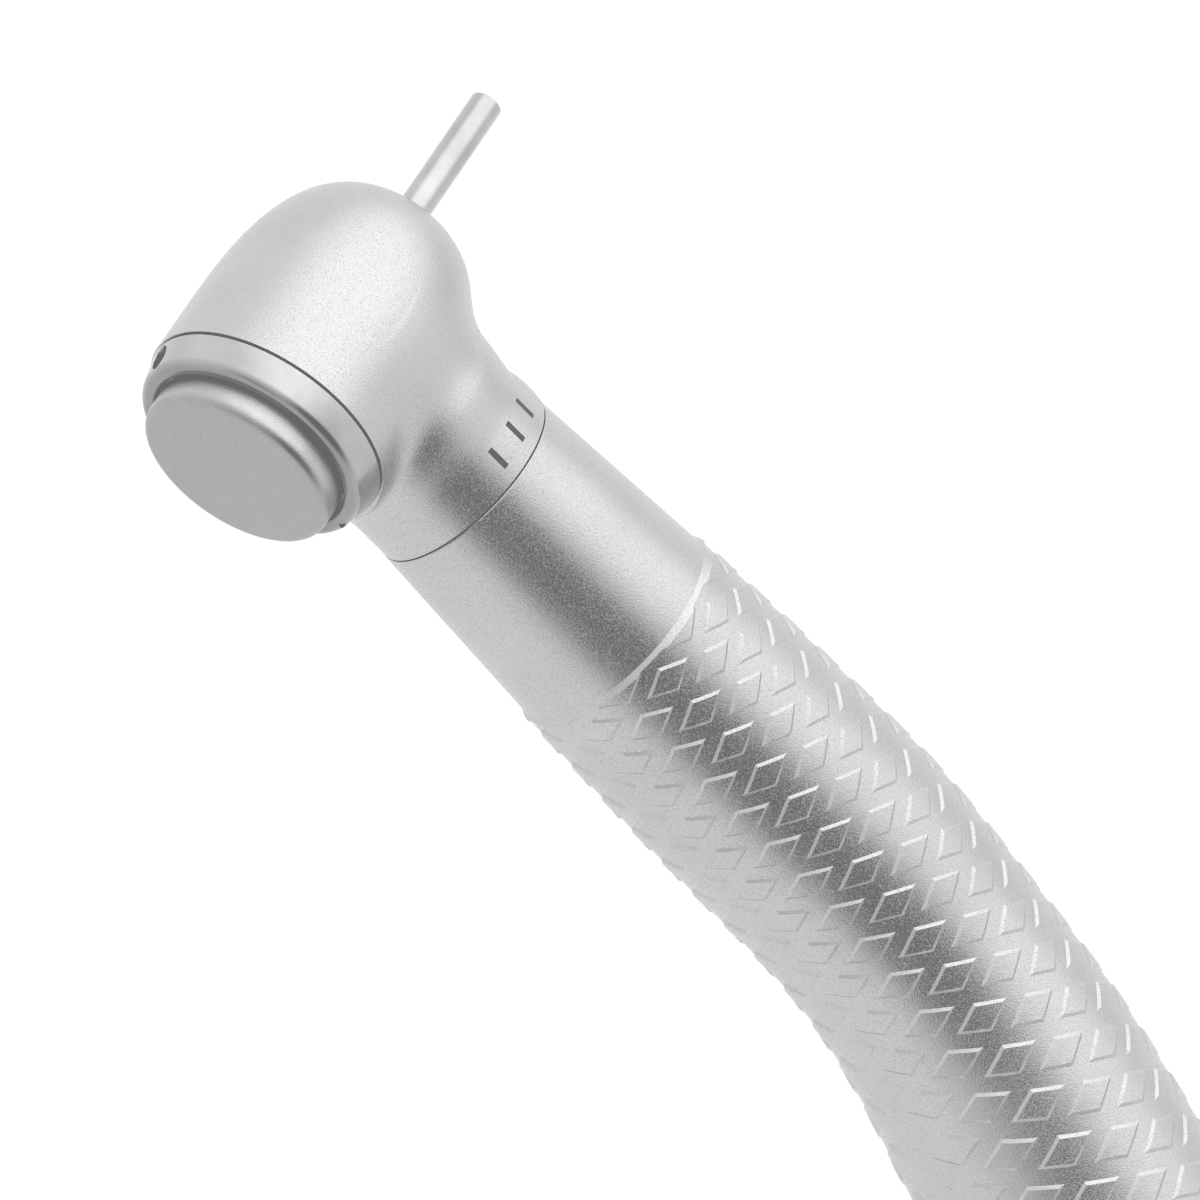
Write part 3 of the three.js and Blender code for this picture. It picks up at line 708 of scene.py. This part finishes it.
def diamond_net(plateau):
    """The grip's rings of [distance, angle, radius] points, on the diamonds' own slanting lines.

    A cell of the net is a square in slanting coordinates x and y, one diamond to a cell: the column
    is x + y and the row is (x - y) / 2. Every line of the net runs round the grip in both slants."""
    half = [0, DIAMOND["inner"], DIAMOND["top"], DIAMOND["foot"], DIAMOND["outer"]]
    knots = np.array([-0.5, *(-k for k in half[:0:-1]), *half])
    n = len(knots)
    line = lambda i: i // n + knots[i % n]
    first, last = (int(round(r * 2 * n)) for r in GRIP_ROWS)
    around = COLUMNS // 2 * n
    i = np.arange(around)[None, :]
    ring = np.arange(first, last + 1)[:, None]
    x, y = line(i), line(i - ring)
    radius_at = row_distance((x - y) / 2)
    angle = FIRST_COLUMN + (x + y) * 2 * math.pi / COLUMNS
    angle = angle + COLUMN_SPREAD * np.sin(angle - FIRST_COLUMN)
    height = (diamond_height(x, y) - 1) * DIAMOND["height"]
    net = np.stack([radius_at, angle, plateau(radius_at) + height], -1)
    lean = row_lean(net[..., 0])
    net[..., 0] += lean * net[..., 2] * np.cos(angle)
    # Each quad spans three rings: its low corner, two middle corners and its high corner
    a = np.arange(around)
    b = (a + 1) % around
    faces = []
    rings = len(net)
    top = height.round(3).ravel()
    for r in range(rings):
        here, above, below = r * around, (r + 1) * around, (r - 1) * around
        if 0 < r < rings - 1:
            quads = np.stack([here + a, above + b, here + b, below + a], 1)
            # At a diamond's corner the quad is split along the edge that runs down the corner
            level = top[quads]
            along, over = level[:, 0] != level[:, 2], level[:, 1] != level[:, 3]
            faces += quads[along == over].tolist()
            for split, order in ((along & ~over, (0, 1, 2, 3)), (over & ~along, (1, 2, 3, 0))):
                corners = quads[split][:, order]
                faces += corners[:, :3].tolist() + corners[:, [0, 2, 3]].tolist()
        elif r == 0:
            faces += np.stack([here + a, above + b, here + b], 1).tolist()
        else:
            faces += np.stack([here + a, here + b, below + a], 1).tolist()
    return net, faces


def around_handle(net):
    """Points in space of [distance, angle, radius] places on the handle."""
    flat = net.reshape(-1, 3)
    across, up = flat[:, 2] * np.cos(flat[:, 1]), -flat[:, 2] * np.sin(flat[:, 1])
    return bent(np.stack([flat[:, 0], across, up], 1))


def band(edge, smooth_radius, towards):
    """Two rings that end the grip: the top of its chamfer, and the chamfer's foot on the sleeve."""
    foot = edge[:, 0].mean() + towards * (edge[:, 2].max() - smooth_radius) / BAND_RISE
    foot = foot - towards * (BAND_LEAN["shift"] - BAND_LEAN["reach"] * np.cos(edge[:, 1]))
    top = edge.copy()
    rim = 0.02
    width = np.minimum((edge[:, 2] - smooth_radius) / BAND_RISE, np.abs(edge[:, 0] - foot) - rim)
    top[:, 0] = foot - towards * width
    low = edge.copy()
    low[:, 0], low[:, 2] = foot, smooth_radius
    return top, low


def grip_sleeve():
    plateau, nose = smooth(PLATEAU), smooth(SLEEVE_NOSE)
    net, faces = diamond_net(plateau)
    around = net.shape[1]
    front_top, front_foot = band(net[0], SLEEVE_NOSE[-1][1], -1)
    rear_top, rear_foot = band(net[-1], TAIL_RADIUS, 1)

    def even(edge, distance, radius):
        """A ring with the edge's own angles."""
        ring = edge.copy()
        ring[:, 0], ring[:, 2] = distance, radius
        return ring

    start, bevel, nose_rings = SLEEVE_NOSE[0][0], 0.05, 22
    front = [front_top, front_foot]
    for share in np.linspace(0, 1, nose_rings)[1:]:
        distance = front_foot[:, 0] + (start + bevel - front_foot[:, 0]) * share
        front.append(even(net[0], distance, nose(distance)))
    front.append(even(net[0], start, nose(start) - bevel))
    socket = SPIGOT["radius"] + SOCKET["gap"]
    front += [even(net[0], s, socket) for s in (start, SOCKET["end"])]
    front += [even(net[0], SOCKET["taper_end"], MIDDLE_BORE["radius"])]
    rear_start = rear_foot[:, 0].max()
    rear = [rear_top, rear_foot]
    rear += [even(net[-1], rear_start + s, TAIL_RADIUS) for s in (0.6, 1.6)]
    rear += [even(net[-1], s, r) for s, r in TAIL + REAR_BORE]
    rings = [front[::-1], rear]
    distances = np.linspace(MIDDLE_BORE["end"], MIDDLE_BORE["start"], MIDDLE_BORE["rings"])
    inside = [even(net[0], s, MIDDLE_BORE["radius"]) for s in distances]
    points = np.concatenate([net, *[np.stack(r) for r in rings], np.stack(inside)])
    count = len(net) * around

    def strip(first_ring, second_ring):
        """Quads between two rings, given by the first index of each."""
        a, b = np.arange(around), (np.arange(around) + 1) % around
        return np.stack([first_ring + a, first_ring + b, second_ring + b, second_ring + a], 1).tolist()

    starts = [count + k * around for k in range(len(front) + len(rear) + len(inside))]
    front_starts, rear_starts = starts[: len(front)], starts[len(front) : len(front) + len(rear)]
    inside_starts = starts[len(front) + len(rear) :]
    faces += strip(front_starts[-1], 0)
    for one, two in zip(front_starts, front_starts[1:]):
        faces += strip(one, two)
    faces += strip(count - around, rear_starts[0])
    chain = rear_starts + inside_starts + [front_starts[0]]
    for one, two in zip(chain, chain[1:]):
        faces += strip(one, two)
    sleeve = new_object("grip_shell", around_handle(points), faces, sharp=14)
    dress(sleeve, BLASTED, "satin_steel", "handpiece", "grip_sleeve")


# ---- Rear end --------------------------------------------------------------------------------
def rear_collar():
    curve, bore, rings = smooth(COLLAR), COLLAR_BORE, 24
    start, end = COLLAR[0][0], COLLAR_END
    distances = np.linspace(start, end, rings)
    outer = [[curve(s) - (bore["edge"] if s in (start, end) else 0), s] for s in distances]
    inner = [[bore["rear"], end], [bore["rear"], bore["rear_start"]]]
    inner += [[bore["front"], bore["front_end"]], [bore["front"], start]]
    collar = new_object("collar_shell", *handle_solid(np.array(outer + inner), SIDES["collar"]))
    dress(collar, BLASTED, "satin_steel", "handpiece", "rear_collar")


def thread_ridge():
    """Points and faces of the connector's helical ridge, which fades out at both ends."""
    t, sides = THREAD, 64
    count = int((t["end"] - t["start"]) / t["pitch"] * sides)
    step = np.arange(count + 1)
    angle = step * 2 * math.pi / sides
    quarter_turn, least = sides / 4, 0.02
    fade = np.clip(np.minimum(step, count - step) / quarter_turn, least, 1)
    middle = t["start"] + t["pitch"] * step / sides
    rows = []
    for across, rise in RIDGE:
        radius = t["root"] + (t["crest"] - t["root"]) * np.where(rise > 0, rise * fade, rise)
        along = middle + across * t["pitch"]
        rows.append(np.stack([along, radius * np.cos(angle), radius * np.sin(angle)], 1))
    points = np.stack(rows, 1).reshape(-1, 3)
    last = count * len(RIDGE)
    ends = [[0, 1, 2, 3], [last + k for k in (3, 2, 1, 0)]]
    return bent(points), ring_faces(count + 1, len(RIDGE), closed=False) + ends


def hose_connector():
    """Flange and threaded spigot with the four holes of the hose coupling."""
    start, root = COLLAR_END + SEAM, THREAD["root"]
    f, radius = FLANGE, FLANGE["radius"]
    flange = rounded([
        [0, start], [radius, start, f["fine_edge"]], [radius, start + f["length"], f["edge"]],
        [root, start + f["root_start"], f["fine_edge"]], [root, CONNECTOR_END, f["edge"]],
        [0, CONNECTOR_END],
    ])
    connector = new_object("connector_shell", *handle_solid(flange, SIDES["flange"]))
    carve(connector, [thread_ridge()], "UNION")
    # The hole cutters reach past the connector's faces
    low, past = CONNECTOR_END - LINE["hole_depth"], 120
    holes = [rod(line, line["radius"] + LINE["gap"], low, past) for line in LINES.values()]
    exhaust = rod(EXHAUST, EXHAUST["radius"], COLLAR_END - 1, past)
    carve(connector, [*holes, exhaust])
    dress(connector, MACHINED, "machined_steel", "handpiece", "hose_connector")


def nipple(name, line):
    low, edge = CONNECTOR_END - LINE["depth"], LINE["edge"]
    outline = stepped(rounded([
        [line["bore"], low], [line["radius"], low], [line["radius"], line["end"], edge],
        [line["bore"], line["end"], edge],
    ]), 1.0)
    points, faces = spun(outline, SIDES["small"], "x")
    tube = new_object(f"{name}_tube", bent(points + [0, line["y"], line["z"]]), faces)
    dress(tube, MACHINED, "machined_steel", "handpiece", name)


# ---- Build -----------------------------------------------------------------------------------
head_housing()
spray_nozzle()
etched_bars()
back_cap()
push_button()
test_pin()
grip_sleeve()
rear_collar()
hose_connector()
for line_name, line in LINES.items():
    nipple(line_name, line)

slots = {part["node"]: part["material_slot"] for part in frame["record"]["subparts"]}
for node, obj in frame["nodes"].items():
    obj.data.materials.clear()
    obj.data.materials.append(SLOT_LOOKS[slots[node]])


# ---- Studio ----------------------------------------------------------------------------------
def pale_floor():
    half = FLOOR["half"]
    mesh = bpy.data.meshes.new("floor")
    corners = [(-half, -half, 0), (half, -half, 0), (half, half, 0), (-half, half, 0)]
    mesh.from_pydata(corners, [], [(0, 1, 2, 3)])
    floor = bpy.data.objects.new("floor", mesh)
    bpy.context.scene.collection.objects.link(floor)
    material, _, shader = nodes_of("pale_floor", roughness=FLOOR["roughness"])
    shader.inputs["Base Color"].default_value = FLOOR["colour"]
    shader.inputs["Specular IOR Level"].default_value = 0.0
    shader.inputs["Emission Color"].default_value = (1, 1, 1, 1)
    shader.inputs["Emission Strength"].default_value = FLOOR["glow"]
    mesh.materials.append(material)


def studio_light():
    """Soft light from all round, a bright softbox behind the head, and a dim side near the camera."""
    world = bpy.data.worlds.new("studio")
    bpy.context.scene.world = world
    world.use_nodes = True
    tree = world.node_tree
    coordinate = tree.nodes.new("ShaderNodeTexCoord")

    def lobe(azimuth, elevation, inner, outer, strength):
        """A soft round patch of the sky: strength inside the inner angle, zero past the outer."""
        a, e = math.radians(azimuth), math.radians(elevation)
        direction = (math.cos(a) * math.cos(e), math.sin(a) * math.cos(e), math.sin(e))
        dot = tree.nodes.new("ShaderNodeVectorMath")
        dot.operation = "DOT_PRODUCT"
        dot.inputs[1].default_value = direction
        tree.links.new(coordinate.outputs["Generated"], dot.inputs[0])
        limits = math.cos(math.radians(outer)), math.cos(math.radians(inner))
        spread = ranged(tree, dot.outputs["Value"], 0, strength, *limits)
        spread.node.interpolation_type = "SMOOTHSTEP"
        return spread

    def plus(one, two):
        add = tree.nodes.new("ShaderNodeMath")
        add.operation = "ADD"
        tree.links.new(one, add.inputs[0])
        if isinstance(two, float):
            add.inputs[1].default_value = two
        else:
            tree.links.new(two, add.inputs[1])
        return add.outputs["Value"]

    level, *others = [lobe(*values) for values in LOBES.values()]
    for part in (*others, SKY):
        level = plus(level, part)
    background = tree.nodes["Background"]
    tree.links.new(level, background.inputs["Strength"])
    background.inputs["Color"].default_value = (1, 1, 1, 1)


def print_look():
    """A light print: white floor, and no tone darker than a soft charcoal."""
    view = bpy.context.scene.view_settings
    view.view_transform = "Standard"
    view.use_curve_mapping = True
    curve = view.curve_mapping.curves[3]
    curve.points[0].location = PRINT_CURVE[0]
    for tone in PRINT_CURVE[1:]:
        curve.points.new(*tone)
    for point in curve.points:
        point.handle_type = "VECTOR"
    view.curve_mapping.update()


def long_camera():
    """A long lens, looking down on the head past the push button."""
    data = bpy.data.cameras.new("camera")
    data.sensor_width, data.lens = CAMERA["sensor"], CAMERA["lens"]
    data.clip_start, data.clip_end = CAMERA["near"], CAMERA["far"]
    camera = bpy.data.objects.new("camera", data)
    bpy.context.scene.collection.objects.link(camera)
    right, up = Vector(CAMERA["right"]), Vector(CAMERA["up"])
    turn = Matrix((right, up, right.cross(up))).transposed()
    place = Vector(CENTRE) + MM * Vector(CAMERA["place"])
    camera.matrix_world = Matrix.Translation(place) @ turn.to_4x4()
    bpy.context.scene.camera = camera


pale_floor()
studio_light()
long_camera()
print_look()
